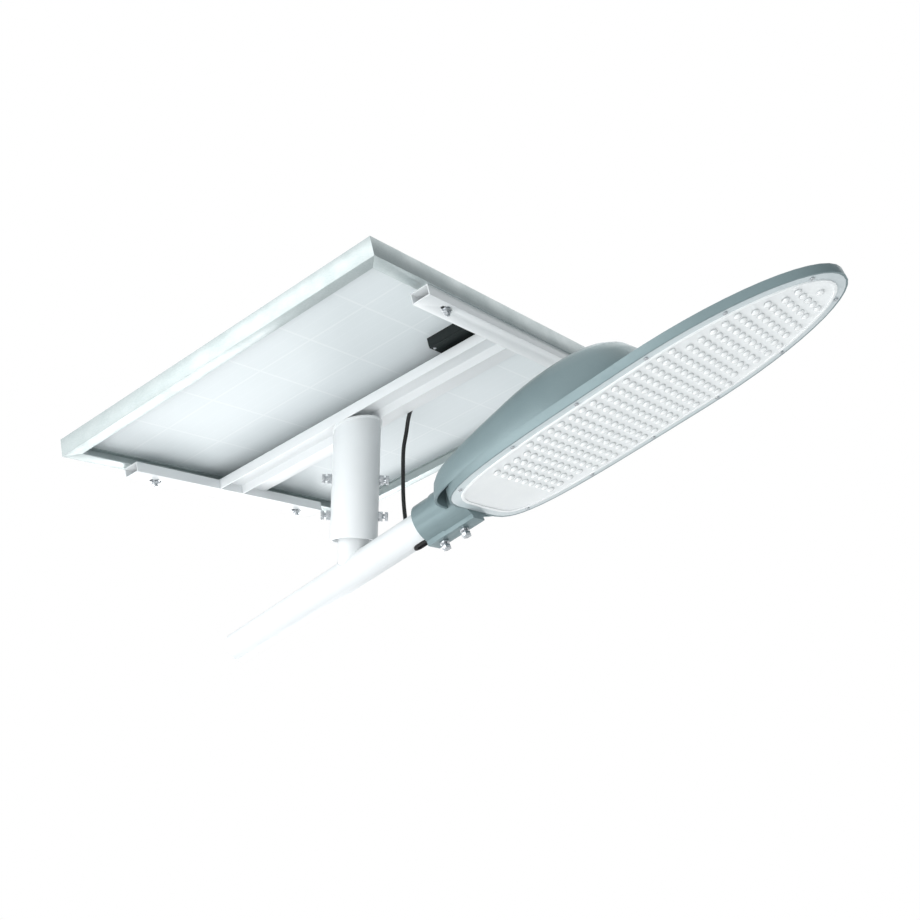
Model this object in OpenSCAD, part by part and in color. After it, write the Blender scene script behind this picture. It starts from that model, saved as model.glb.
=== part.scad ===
// Split solar street lamp: a tilted solar panel and a long lamp head share one short pole arm.
// The origin is the centre of the arm's open pole end. X runs level from the pole towards the
// lamp, Z is up, and the arm climbs in the XZ plane.

/* [Arm] */
// Outside diameter of the arm tube, 3 mm more than the upright stub's
arm_od = 60; // [54:1:66]
// Wall of the arm tube and of the stub
arm_wall = 3; // [2:0.5:4]
// Climb of the arm above level, in degrees
arm_tilt = 24; // [15:1:30]
// Length of arm from its pole end to the upright stub's axis
pole_run = 325; // [250:5:420]
// Length of arm from the stub's axis to the tube's end in the lamp head
lamp_run = 280; // [262:1:288]
// Height of the stub above the arm's axis
stub_top = 210; // [200:1:235]
// Depth of the arm's open end that slips over the pole's tenon
tenon_len = 100; // [80:5:150]
// Length of the oval cable hole in the arm's underside
cable_hole_len = 34; // [26:1:38]
// Width of the oval cable hole
cable_hole_w = 18; // [16:1:20]

/* [Sleeve] */
// Outside diameter of the sleeve that turns on the stub
sleeve_od = 90; // [86:1:96]
// Wall of the sleeve
sleeve_wall = 5; // [4:0.5:6]
// Height of the sleeve's open lower end above the arm's axis
sleeve_bottom = 59; // [56:1:70]
// Height of the lower clamping screws above the sleeve's lower end
screw_low = 48; // [36:1:60]
// Rise from the lower to the upper clamping screws
screw_step = 70; // [50:1:80]
// Turn of the clamping screws from the beam's direction, in degrees
screw_turn = 40; // [0:5:90]
// Thread diameter of the clamping screws
screw_d = 10; // [8:1:12]

/* [Solar panel] */
// Size of the panel along the centre beam
panel_len = 760; // [700:10:960]
// Size of the panel along the side rails
panel_wid = 780; // [660:10:960]
// Height of the panel's frame
frame_h = 35; // [30:1:45]
// Width of the frame's lower flange
frame_flange = 25; // [25:1:35]
// Wall of the frame's section
frame_wall = 2; // [1.5:0.5:2.5]
// Slope of the panel, in degrees
panel_tilt = 17; // [8:1:20]
// Height of the panel's underside above the arm's axis, on the sleeve's axis
panel_rise = 302; // [300:1:350]

/* [Rails and beam] */
// Width of a side rail
rail_w = 36; // [32:1:44]
// Height of the rails and of the centre beam
rail_h = 20; // [16:1:30]
// Wall of the side rails
rail_wall = 2; // [1.5:0.5:3]
// Length of a side rail
rail_len = 510; // [440:10:640]
// Distance from the panel's side to a rail
rail_edge = 4; // [0:1:8]
// Distance from a rail's end to its bolt
bolt_from_end = 60; // [35:1:90]
// Thread diameter of the rail bolts
bolt_d = 8; // [6:1:8]
// Width of the centre channel
channel_w = 65; // [60:1:80]
// Wall of the centre channel and thickness of its side strip
channel_wall = 3; // [2:0.5:4]
// Distance from the sleeve's axis to the channel's outer face
channel_side = 48; // [46:1:50]
// Width of the flat strip beside the channel
strip_w = 65; // [50:1:70]

/* [Junction box] */
// Size of the junction box along the beam
jbox_len = 100; // [80:1:110]
// Size of the junction box across the beam
jbox_w = 95; // [80:1:100]
// Height of the junction box with its lid
jbox_h = 20; // [18:1:22]

/* [Lamp head] */
// Length of the lamp head's oval rim
head_len = 722; // [640:1:860]
// Greatest width of the lamp head
head_w = 284; // [260:1:340]
// Distance from the rim's socket end to its widest place
head_widest = 410; // [360:1:450]
// Distance from the stub's axis to the rim's socket end
head_start = 290; // [290:1:300]
// Height of the rim
rim_h = 16; // [15:0.5:20]
// Drop from the arm's axis to the rim's lower face
rim_drop = 31; // [30:0.5:34]
// Wall of the cast shells
cast_wall = 4; // [3:0.5:5]
// Length of the upper cover, measured from the rim's socket end
cover_len = 410; // [390:1:450]
// Width of the upper cover at its foot
cover_w = 244; // [230:1:256]
// Height of the upper cover at the rim's socket end
cover_h = 50; // [48:1:64]
// Rise of the cover's top towards the middle of the lamp, in millimetres per metre
cover_climb = 182; // [150:1:200]
// Length of the socket that takes the arm
socket_len = 103; // [98:1:110]
// Outside diameter of the socket
socket_od = 84; // [80:1:88]
// Thickness of the lens plate
lens_t = 2.8; // [2:0.2:3.4]
// Distance between lens plate screws
lens_screw_step = 130; // [110:1:140]

/* [Clearances] */
// Radial clearance between the arm and the socket
socket_gap = 0.3; // [0.2:0.1:0.5]
// Gap between parts that turn against each other
turn_gap = 0.3; // [0.2:0.1:0.5]
// Gap around parts that drop into a recess
seat_gap = 0.3; // [0.2:0.1:0.5]

/* [Hidden] */
$fn = 64;

// Places on the arm and the panel
stub_x = pole_run * cos(arm_tilt);
stub_z = pole_run * sin(arm_tilt);
stub_r = arm_od / 2 - 1.5;
sleeve_r = sleeve_od / 2;
sleeve_in = sleeve_r - sleeve_wall;
cap_t = 3;
cap_r = max(channel_side, sleeve_r / cos(panel_tilt)) + 0.5;
cap_shift = -(rail_h + cap_t / 2) * tan(panel_tilt);
stop_t = 5;
stop_lip = 8;
guide_h = 15;
cable_hole_s = head_start - socket_len - cable_hole_len / 2 - 3;
entry_s = 115;
entry_d = 16;

// Clamping screws and their welded nuts
nut_h = 8;
nut_r = screw_d * 0.95;
screw_heights = [screw_low, screw_low + screw_step];

// Panel stack: the frame's groove holds the glass, the cells and the back sheet
lip = 8;
ledge_z = frame_h - 9;
groove_z = ledge_z + frame_wall;
glass_t = 3.2;
cell_t = 0.8;
sheet_t = 1;
stack_len = panel_len - 2 * frame_wall - 2 * seat_gap;
stack_wid = panel_wid - 2 * frame_wall - 2 * seat_gap;
key_leg = 45;
key_w = 12;
key_h = 10;
key_gap = 0.2;

// Side rails
rail_u = panel_len / 2 - rail_edge - rail_w / 2;
rail_in = rail_u - rail_w / 2;
bolt_u = panel_len / 2 - 17;
bolt_v = rail_len / 2 - bolt_from_end;
bolt_head_r = bolt_d * 0.9;
bolt_head_h = 5.3;
rail_nut_h = 6.5;
washer_t = 1.6;
washer_r = bolt_d;
slot_len = 26;
hole_gap = 0.5;

// Junction box, under the back sheet
jbox_u = rail_in - 4 - jbox_len / 2;
jbox_v = -70 + jbox_w / 2;
jbox_top = groove_z;
lid_t = 3;
jbox_wall = 2.5;
gland_u = jbox_u - 17;
gland_z = jbox_top - jbox_h / 2;
gland_len = 22.5;

// Panel cable, from the gland over the strip, down and up into the arm
cable_d = 8;
cable_route = [
    [549, 45.4, 530], [549, 55, 530], [535, 64, 524], [490, 68, 505], [440, 70, 486],
    [390, 75, 468], [362, 84, 458], [347, 93, 442], [340, 96, 415], [334, 96, 380],
    [337, 93, 330], [345, 86, 280], [358, 78, 235], [374, 69, 202], [389, 57, 185],
    [398, 44, 179], [402, 31, 179], [409, 16, 182], [425, 4, 189], [446, 0, 198.5],
    [475, 0, 211.5], [500, 0, 222.6], [520, 0, 231]
];
coupler_d = 16;
coupler_len = 36;

// Lamp head, in its own frame: X from the rim's socket end along the arm, Z square to the arm
rim_z = -rim_drop;
deck_z = rim_z + rim_h;
roof_z = deck_z - cast_wall;
border = 22;
rebate = 3;
gasket_in = 16;
gasket_w = 4;
socket_r = socket_od / 2;
mouth_r = socket_r - 2;
bore_r = arm_od / 2 + socket_gap;
mouth_len = 41;
bore_end = lamp_run - head_start + 2;
pad_w = 34;
pad_drop = socket_r + 4;
clamp_x = [-socket_len + 24, -socket_len + 71];
lens_screw_x = [for (k = [0:5]) 46 + min(k * lens_screw_step, head_len - 82)];
lens_screw_in = 11;
cover_back = -30;
post_r = 7;
posts = [[70, 60], [256, 36]];
cell_d = 32;
cell_len = 70;
tray_x = 90;
tray_t = 2;
cells_across = 4;
cells_along = 2;
cell_pitch = cell_d + 0.6;
cell_step = cell_len + 2;
tray_len = cells_along * cell_step + 4;
tray_w = cells_across * cell_pitch + 4.4;
control_len = 44;
control_w = 100;
control_h = 26;
control_x = 40;
lead_start = cable_route[len(cable_route) - 1] * [cos(arm_tilt), 0, sin(arm_tilt)]
    + coupler_len + turn_gap - pole_run - head_start;

white = "whitesmoke";
cast_grey = "slategray";

// ---------- Frames of reference ----------

module along_arm(s = 0) { rotate([0, -arm_tilt, 0]) translate([s, 0, 0]) children(); }
module on_stub() { translate([stub_x, 0, stub_z]) children(); }
module on_panel() { translate([stub_x, 0, stub_z + panel_rise]) rotate([0, -panel_tilt, 0]) children(); }
module on_head() { along_arm(pole_run + head_start) children(); }
module rod_x(r, x0, x1) { translate([x0, 0, 0]) rotate([0, 90, 0]) cylinder(r = r, h = x1 - x0); }

// ---------- Shapes used more than once ----------

module hexagon(r, h) { cylinder(r = r, h = h, $fn = 6); }

// Oval prism with round ends, its length along X, standing on Z
module oval_prism(length, width, h) {
    for (side = [-1, 1]) translate([side * (length - width) / 2, 0, 0]) cylinder(d = width, h = h);
    translate([-(length - width) / 2, -width / 2, 0]) cube([length - width, width, h]);
}

// Outline of the lamp: square-shouldered towards the socket, elliptical towards the tip
steps = 14;
function oval(back, mid, tip, half) = let (
    front = [for (k = [0:steps]) let (a = 90 - 90 * k / steps)
        [mid + (tip - mid) * sin(a), half * cos(a)]],
    rear = [for (k = [1:steps]) let (a = 90 * k / steps)
        [mid - (mid - back) * pow(sin(a), 0.5), half * pow(max(cos(a), 0), 0.4)]],
    upper = concat(front, rear),
    last = len(upper) - 1
) concat(upper, [for (k = [last - 1:-1:1]) [upper[k][0], -upper[k][1]]]);
function rim_line(inset) = oval(inset, head_widest, head_len - inset, head_w / 2 - inset);
function rim_half(x, inset) = x < head_widest
    ? (head_w / 2 - inset) * pow(1 - pow((head_widest - x) / (head_widest - inset), 4), 0.2)
    : (head_w / 2 - inset) * sqrt(1 - pow((x - head_widest) / (head_len - head_widest - inset), 2));

module rim_slab(inset, z0, z1) { translate([0, 0, z0]) linear_extrude(z1 - z0) polygon(rim_line(inset)); }

// Closed skin through rings of equal length, from the lowest to the highest
module loft(rings) {
    n = len(rings[0]);
    m = len(rings);
    points = [for (ring = rings) for (p = ring) p];
    walls = [for (j = [0:m - 2]) for (i = [0:n - 1]) let (
        a = j * n + i, b = j * n + (i + 1) % n) each [[a, a + n, b + n], [a, b + n, b]]];
    polyhedron(concat(points), concat(walls, [[for (i = [0:n - 1]) i]],
        [[for (i = [n - 1:-1:0]) (m - 1) * n + i]]));
}

// Round tube swept along a smooth line through the given points
function unit(v) = v / norm(v);
function curve(p, n) = concat([for (i = [0:len(p) - 2]) for (k = [0:n - 1]) let (
    t = k / n, p0 = p[max(i - 1, 0)], p1 = p[i], p2 = p[i + 1], p3 = p[min(i + 2, len(p) - 1)])
    0.5 * (2 * p1 + (p2 - p0) * t + (2 * p0 - 5 * p1 + 4 * p2 - p3) * t * t
        + (3 * p1 - p0 - 3 * p2 + p3) * t * t * t)], [p[len(p) - 1]]);
function headings(p) = [for (i = [0:len(p) - 1]) unit(p[min(i + 1, len(p) - 1)] - p[max(i - 1, 0)])];
function side_vectors(t, first) = [for (i = 0, v = first; i < len(t); i = i + 1,
    v = i < len(t) ? unit(v - t[i] * (v * t[i])) : v) v];
module tube_along(route, d, n, sides = 8) {
    p = curve(route, n);
    t = headings(p);
    v = side_vectors(t, unit(cross(t[0], [0.1, 0.2, 1])));
    loft([for (i = [0:len(p) - 1]) [for (k = [0:sides - 1]) let (a = -360 * k / sides)
        p[i] + d / 2 * (v[i] * cos(a) + cross(v[i], t[i]) * sin(a))]]);
}

// ---------- Arm ----------

module cable_slot(extra, z0, z1) {
    along_arm(pole_run + cable_hole_s) translate([0, 0, z0])
        oval_prism(cable_hole_len + 2 * extra, cable_hole_w + 2 * extra, z1 - z0);
}

// Round hole in the arm's far side where the panel cable goes in
module entry_hole(extra) {
    along_arm(pole_run + entry_s) rotate([-90, 0, 0]) cylinder(d = entry_d + 2 * extra, h = arm_od);
}

// The tube has a welded ring inside that stops the tenon and lets a cable past
module arm_tube() {
    bore = arm_od / 2 - arm_wall;
    color(white) difference() {
        along_arm() rod_x(arm_od / 2, 0, pole_run + lamp_run);
        along_arm() rod_x(bore, -1, tenon_len);
        along_arm() rod_x(bore - stop_lip, tenon_len - 1, tenon_len + stop_t + 1);
        along_arm() rod_x(bore, tenon_len + stop_t, pole_run + lamp_run + 1);
        cable_slot(0, -arm_od, 0);
        entry_hole(0);
        on_stub() cylinder(r = 9, h = arm_od);
    }
}

module stub() {
    color(white) difference() {
        on_stub() cylinder(r = stub_r, h = stub_top);
        on_stub() translate([0, 0, -1]) cylinder(r = stub_r - arm_wall, h = stub_top + 2);
        along_arm() rod_x(arm_od / 2, 0, pole_run + lamp_run);
    }
}

module stub_cap() {
    color(white) on_stub() translate([0, 0, stub_top - 6]) cylinder(r = stub_r - arm_wall, h = 6);
}

module cable_grommet() {
    lip_r = arm_od / 2 + 2;
    color("dimgray") difference() {
        union() {
            intersection() {
                cable_slot(-0.1, -arm_od, 0);
                along_arm() rod_x(arm_od / 2 + 1, pole_run, pole_run + lamp_run);
            }
            intersection() {
                cable_slot(2, -arm_od, 0);
                along_arm() rod_x(lip_r, pole_run, pole_run + lamp_run);
            }
        }
        intersection() {
            cable_slot(3, -arm_od, 0);
            difference() {
                along_arm() rod_x(arm_od / 2, pole_run, pole_run + lamp_run);
                cable_slot(-0.1, -arm_od, 1);
            }
        }
        along_arm() rod_x(arm_od / 2 - arm_wall - 1, pole_run, pole_run + lamp_run);
        cable_slot(-4, -arm_od, 1);
    }
}

// Rubber ring that lines the entry hole, with a lip outside the tube
module entry_grommet() {
    color("dimgray") difference() {
        intersection() {
            union() {
                entry_hole(-0.1);
                difference() {
                    entry_hole(2.5);
                    along_arm() rod_x(arm_od / 2, pole_run, pole_run + lamp_run);
                }
            }
            along_arm() rod_x(arm_od / 2 + 2, pole_run, pole_run + lamp_run);
        }
        along_arm() rod_x(arm_od / 2 - arm_wall - 1, pole_run, pole_run + lamp_run);
        entry_hole((cable_d + 3.4 - entry_d) / 2);
    }
}

// ---------- Sleeve ----------

module sleeve() {
    color(white) difference() {
        on_stub() translate([0, 0, sleeve_bottom]) cylinder(r = sleeve_r, h = panel_rise);
        on_stub() translate([0, 0, sleeve_bottom - 1]) cylinder(r = sleeve_in, h = panel_rise + 2);
        on_panel() translate([-sleeve_od, -sleeve_od, -(rail_h + cap_t)])
            cube([2 * sleeve_od, 2 * sleeve_od, 2 * panel_rise]);
        at_set_screws() cylinder(d = screw_d, h = sleeve_od);
    }
}

module sleeve_cap() {
    color(white) on_panel() translate([cap_shift, 0, -(rail_h + cap_t)]) cylinder(r = cap_r, h = cap_t);
}

module sleeve_stop() {
    color(white) on_stub() difference() {
        translate([0, 0, stub_top - guide_h]) cylinder(r = sleeve_in, h = guide_h + turn_gap + stop_t);
        translate([0, 0, stub_top - guide_h - 1]) cylinder(r = stub_r + turn_gap, h = guide_h + 1 + turn_gap);
    }
}

// Each clamping screw points inwards along its own Z, which starts on the stub's axis
module at_set_screws() {
    on_stub() for (z = screw_heights) for (turn = [0, 180])
        translate([0, 0, sleeve_bottom + z]) rotate([0, 0, screw_turn + turn]) rotate([0, 90, 0]) children();
}

module set_nuts() {
    seat = sleeve_in + 1.5;
    color("silver") difference() {
        at_set_screws() translate([0, 0, seat]) hexagon(nut_r, sleeve_wall - 1.5 + nut_h);
        on_stub() cylinder(r = sleeve_r, h = panel_rise);
        at_set_screws() cylinder(d = screw_d, h = sleeve_od);
    }
}

module set_screws() {
    head_z = sleeve_r + nut_h + 4;
    color("silver") at_set_screws() {
        translate([0, 0, stub_r + turn_gap]) cylinder(d = screw_d, h = head_z - stub_r);
        translate([0, 0, head_z]) hexagon(screw_d * 0.9, screw_d * 0.6);
    }
}

// ---------- Beam and rails ----------

module beam_channel() {
    outer = [-channel_side, -rail_h, 0];
    color(white) on_panel() difference() {
        translate([-rail_in, outer[0], outer[1]]) cube([2 * rail_in, channel_w, rail_h]);
        translate([-rail_in - 1, outer[0] + channel_wall, outer[1] - 1])
            cube([2 * rail_in + 2, channel_w - 2 * channel_wall, rail_h - channel_wall + 1]);
    }
}

module beam_strip() {
    color(white) on_panel() translate([-rail_in, channel_w - channel_side, -channel_wall])
        cube([2 * rail_in, strip_w, channel_wall]);
}

module at_rail_bolts(side) {
    for (end = [-1, 1]) translate([side * bolt_u, end * bolt_v, 0]) children();
}

module rail(side) {
    hole = bolt_d + 2 * hole_gap;
    color(white) on_panel() difference() {
        translate([side * rail_u - rail_w / 2, -rail_len / 2, -rail_h]) cube([rail_w, rail_len, rail_h]);
        translate([side * rail_u - rail_w / 2 + rail_wall, -rail_len / 2 - 1, -rail_h + rail_wall])
            cube([rail_w - 2 * rail_wall, rail_len + 2, rail_h - 2 * rail_wall]);
        at_rail_bolts(side) translate([0, 0, -rail_wall - 1]) cylinder(d = hole, h = rail_wall + 2);
        at_rail_bolts(side) translate([0, 0, -rail_h - 1]) rotate([0, 0, 90])
            oval_prism(slot_len, hole, rail_wall + 2);
    }
}
module rail_left() { rail(-1); }
module rail_right() { rail(1); }

module at_all_bolts() { on_panel() for (side = [-1, 1]) at_rail_bolts(side) children(); }

module rail_bolts() {
    tip = rail_h + washer_t + rail_nut_h + 5;
    color("silver") at_all_bolts() {
        translate([0, 0, -tip]) cylinder(d = bolt_d, h = tip + frame_wall);
        translate([0, 0, frame_wall]) hexagon(bolt_head_r, bolt_head_h);
    }
}

module rail_washers() {
    color("silver") at_all_bolts() translate([0, 0, -rail_h - washer_t]) difference() {
        cylinder(r = washer_r, h = washer_t);
        translate([0, 0, -1]) cylinder(d = bolt_d, h = washer_t + 2);
    }
}

module rail_nuts() {
    color("silver") at_all_bolts() translate([0, 0, -rail_h - washer_t - rail_nut_h]) difference() {
        hexagon(bolt_head_r, rail_nut_h);
        translate([0, 0, -1]) cylinder(d = bolt_d, h = rail_nut_h + 2);
    }
}

// ---------- Solar panel ----------

// Frame bar with its outer face on X = 0, its inside towards +X and its ends mitred
module frame_bar(length) {
    reach = frame_flange + 1;
    ledge = lip + frame_wall;
    section = [
        [0, 0], [frame_flange, 0], [frame_flange, frame_wall], [frame_wall, frame_wall],
        [frame_wall, ledge_z], [ledge, ledge_z], [ledge, groove_z], [frame_wall, groove_z],
        [frame_wall, frame_h - frame_wall], [lip, frame_h - frame_wall], [lip, frame_h], [0, frame_h]
    ];
    intersection() {
        rotate([90, 0, 0]) linear_extrude(length, center = true) polygon(section);
        linear_extrude(frame_h) polygon([
            [0, -length / 2], [reach, reach - length / 2], [reach, length / 2 - reach], [0, length / 2]]);
    }
}

module frame_side(side) {
    color("silver") on_panel() difference() {
        scale_x(-side) translate([-panel_len / 2, 0, 0]) frame_bar(panel_wid);
        at_rail_bolts(side) translate([0, 0, -1]) cylinder(d = bolt_d + 2 * hole_gap, h = frame_wall + 2);
    }
}
module scale_x(sign) { if (sign < 0) mirror([1, 0, 0]) children(); else children(); }
module frame_left() { frame_side(-1); }
module frame_right() { frame_side(1); }
module frame_end(turn) {
    color("silver") on_panel() rotate([0, 0, turn]) translate([0, -panel_wid / 2, 0])
        rotate([0, 0, 90]) frame_bar(panel_len);
}
module frame_near() { frame_end(0); }
module frame_far() { frame_end(180); }

// Angle pieces inside the frame's corners
module corner_keys() {
    color("gray") on_panel() for (sx = [0, 1]) for (sy = [0, 1])
        mirror([sx, 0, 0]) mirror([0, sy, 0])
            translate([-panel_len / 2 + frame_wall + key_gap, -panel_wid / 2 + frame_wall + key_gap, frame_wall]) {
                cube([key_leg, key_w, key_h]);
                cube([key_w, key_leg, key_h]);
            }
}

module sheet(z0, t) {
    translate([-stack_len / 2, -stack_wid / 2, z0]) cube([stack_len, stack_wid, t]);
}
module back_sheet() { color("white") on_panel() sheet(groove_z, sheet_t); }
module cell_sheet() { color("midnightblue") on_panel() sheet(groove_z + sheet_t, cell_t); }
module glass() { color("lightblue") on_panel() sheet(groove_z + sheet_t + cell_t, glass_t); }

// ---------- Junction box ----------

module jbox_block(inset, z0, z1) {
    translate([jbox_u - jbox_len / 2 + inset, jbox_v - jbox_w / 2 + inset, z0])
        cube([jbox_len - 2 * inset, jbox_w - 2 * inset, z1 - z0]);
}
module at_jbox_corners() {
    for (sx = [-1, 1]) for (sy = [-1, 1])
        translate([jbox_u + sx * (jbox_len / 2 - 7), jbox_v + sy * (jbox_w / 2 - 7), 0]) children();
}

module jbox_body() {
    low = jbox_top - jbox_h + lid_t;
    color("black") on_panel() {
        difference() {
            jbox_block(0, low, jbox_top);
            jbox_block(jbox_wall, low - 1, jbox_top - jbox_wall);
            translate([gland_u, jbox_v, gland_z]) rotate([-90, 0, 0]) cylinder(d = 12, h = jbox_w);
        }
        difference() {
            at_jbox_corners() translate([0, 0, low]) cylinder(r = 5.2, h = jbox_top - low - jbox_wall);
            at_jbox_corners() translate([0, 0, low - 1]) cylinder(d = 3, h = 9);
        }
    }
}

module jbox_lid() {
    low = jbox_top - jbox_h;
    color("black") on_panel() difference() {
        jbox_block(0.5, low, low + lid_t);
        at_jbox_corners() translate([0, 0, low - 1]) cylinder(d = 3, h = lid_t + 2);
    }
}

module jbox_screws() {
    low = jbox_top - jbox_h;
    color("silver") on_panel() at_jbox_corners() {
        translate([0, 0, low]) cylinder(d = 3, h = lid_t + 7);
        translate([0, 0, low - 2]) cylinder(d = 6, h = 2);
    }
}

module jbox_gland() {
    wall_v = jbox_v + jbox_w / 2;
    color("black") on_panel() translate([gland_u, wall_v - jbox_wall, gland_z]) rotate([-90, 0, 0]) {
        difference() {
            union() {
                cylinder(d = 12, h = gland_len);
                translate([0, 0, jbox_wall]) hexagon(9, 6);
                translate([0, 0, jbox_wall + 6]) cylinder(d = 14, h = gland_len - jbox_wall - 7);
            }
            translate([0, 0, -1]) cylinder(d = cable_d + 0.6, h = gland_len + 2);
        }
    }
}

module panel_cable() { color("black") tube_along(cable_route, cable_d, 3); }

module cable_coupler() {
    start = cable_route[len(cable_route) - 1];
    color("black") translate(start) rotate([0, -arm_tilt, 0]) {
        rod_x(coupler_d / 2, 0, coupler_len);
        rod_x(coupler_d / 2 + 1.5, coupler_len / 2 - 4, coupler_len / 2 + 4);
    }
}

// ---------- Lamp head ----------

module at_clamp() { for (x = clamp_x) translate([x, 0, 0]) children(); }
module at_posts() { for (p = posts) for (side = [-1, 1]) translate([p[0], side * p[1], 0]) children(); }
module at_lens_screws() {
    for (x = lens_screw_x) for (side = [-1, 1])
        translate([x, side * rim_half(x, lens_screw_in), rim_z]) children();
}
function cover_rise(x) = cover_h + x * cover_climb / 1000;

module head_base() {
    neck_end = 34;
    color(cast_grey) on_head() difference() {
        union() {
            rim_slab(0, rim_z, deck_z);
            rod_x(mouth_r, -socket_len, -socket_len + mouth_len);
            rod_x(socket_r, -socket_len + mouth_len, neck_end);
            translate([-socket_len, -pad_w / 2, -pad_drop]) cube([socket_len + 8, pad_w, pad_drop]);
            translate([0, 0, deck_z]) at_posts() cylinder(r = post_r, h = 38);
        }
        rim_slab(rebate, rim_z - 1, rim_z + lens_t);
        difference() {
            rim_slab(gasket_in, rim_z, rim_z + lens_t + 2);
            rim_slab(gasket_in + gasket_w, rim_z, rim_z + lens_t + 2);
        }
        rim_slab(border, rim_z, roof_z);
        rod_x(bore_r, -socket_len - 1, bore_end);
        rod_x(22, bore_end - 1, neck_end + 1);
        translate([rebate, -socket_od, rim_z - socket_od]) cube([neck_end, 2 * socket_od, socket_od]);
        at_clamp() translate([0, 0, -pad_drop - 1]) cylinder(d = screw_d, h = pad_drop);
        at_lens_screws() cylinder(d = 4, h = rim_h - 4);
        at_posts() cylinder(d = 5, h = 40);
    }
}

// Skin of the cover at a height share f, drawn in by the given inset
function cover_ring(f, inset, lower) = let (
    back = cover_back + inset + 6 * f,
    tip = cover_len - inset - 41 * f * f,
    half = cover_w / 2 - inset - 8 * f)
    [for (p = oval(back, (back + tip) * 0.52, tip, half)) [p[0], p[1],
        deck_z + f * (cover_rise(p[0]) - lower)]];

module cover_skin(inset, lower) {
    loft([
        cover_ring(0, inset, lower), cover_ring(0.3, inset + 1, lower), cover_ring(0.6, inset + 3, lower),
        cover_ring(0.8, inset + 8, lower), cover_ring(0.92, inset + 17, lower),
        cover_ring(0.98, inset + 28, lower), cover_ring(1, inset + 42, lower)]);
}

module head_cover() {
    color(cast_grey) on_head() difference() {
        cover_skin(0, 0);
        translate([0, 0, -0.01]) cover_skin(cast_wall, cast_wall);
        rod_x(socket_r + 0.2, cover_back - 1, 40);
        at_posts() cylinder(d = 5, h = 200);
    }
}

module cover_screws() {
    color("silver") on_head() at_posts_high() {
        translate([0, 0, -30]) cylinder(d = 5, h = 30);
        cylinder(r = 4.6, h = 3);
    }
}
module at_posts_high() {
    for (p = posts) for (side = [-1, 1])
        translate([p[0], side * p[1], deck_z + cover_rise(p[0]) + 1]) children();
}

module clamp_bolts() {
    reach = 25;
    color("silver") on_head() at_clamp() {
        translate([0, 0, -arm_od / 2 - socket_gap - reach]) cylinder(d = screw_d, h = reach);
        translate([0, 0, -arm_od / 2 - socket_gap - reach - 7]) hexagon(screw_d * 0.9, 7);
    }
}

module clamp_nuts() {
    color("silver") on_head() at_clamp() translate([0, 0, -pad_drop - 5]) difference() {
        hexagon(screw_d * 0.95, 5);
        translate([0, 0, -1]) cylinder(d = screw_d, h = 7);
    }
}

module lens_plate() {
    bead = border - 4;
    color("white") on_head() difference() {
        union() {
            rim_slab(rebate + seat_gap, rim_z, rim_z + lens_t);
            rim_slab(bead, rim_z - 2, rim_z + 0.5);
        }
        rim_slab(bead + 5, rim_z - 3, rim_z - 0.5);
        at_lens_screws() translate([0, 0, -1]) cylinder(d = 4, h = lens_t + 2);
    }
}

module lens_gasket() {
    color("black") on_head() difference() {
        rim_slab(gasket_in + 0.2, rim_z + lens_t, rim_z + lens_t + 2);
        rim_slab(gasket_in + gasket_w - 0.2, rim_z + lens_t - 1, rim_z + lens_t + 3);
    }
}

module lens_screws() {
    color("silver") on_head() at_lens_screws() {
        cylinder(d = 4, h = rim_h - 5);
        translate([0, 0, -2]) cylinder(r = 3.8, h = 2);
    }
}

module led_board() {
    color("white") on_head() difference() {
        rim_slab(border + 4, roof_z - 1.6, roof_z);
        translate([-1, -head_w, roof_z - 3]) cube([96, 2 * head_w, 4]);
    }
}

module battery_tray() {
    color("gray") on_head() translate([tray_x, -tray_w / 2, deck_z]) difference() {
        cube([tray_len, tray_w, 20]);
        translate([tray_t, tray_t, tray_t]) cube([tray_len - 2 * tray_t, tray_w - 2 * tray_t, 20]);
    }
}

module battery_cells() {
    color("royalblue") on_head() for (i = [0:cells_along - 1]) for (j = [0:cells_across - 1])
        translate([tray_x + 3 + i * cell_step, (j - (cells_across - 1) / 2) * cell_pitch,
            deck_z + tray_t + cell_d / 2]) rod_x(cell_d / 2, 0, cell_len);
}

module battery_strap() {
    strap_w = 20;
    top = tray_t + cell_d;
    color("dimgray") on_head() translate([tray_x + (tray_len - strap_w) / 2, 0, deck_z]) {
        translate([0, -tray_w / 2 - 1.5, top]) cube([strap_w, tray_w + 3, 1.5]);
        for (side = [-1, 1]) translate([0, side * (tray_w / 2 + 0.75) - 0.75, 0]) cube([strap_w, 1.5, top]);
    }
}

module controller() {
    color("darkslategray") on_head() translate([control_x, -control_w / 2, deck_z])
        cube([control_len, control_w, control_h]);
}

module lamp_lead() {
    mid = (lead_start + control_x) / 2;
    color("black") on_head() tube_along([[lead_start, 0, 0], [mid, 0, 0], [control_x, 0, 0]], cable_d, 3);
}

arm_tube();
stub();
stub_cap();
cable_grommet();
entry_grommet();
sleeve();
sleeve_cap();
sleeve_stop();
set_nuts();
set_screws();
beam_channel();
beam_strip();
rail_left();
rail_right();
rail_bolts();
rail_washers();
rail_nuts();
frame_near();
frame_far();
frame_left();
frame_right();
corner_keys();
glass();
cell_sheet();
back_sheet();
jbox_body();
jbox_lid();
jbox_screws();
jbox_gland();
panel_cable();
cable_coupler();
head_base();
head_cover();
cover_screws();
clamp_bolts();
clamp_nuts();
lens_plate();
lens_gasket();
lens_screws();
led_board();
battery_tray();
battery_cells();
battery_strap();
controller();
lamp_lead();
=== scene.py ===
import math

import bmesh
import bpy
from mathutils import Matrix, Vector


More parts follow.
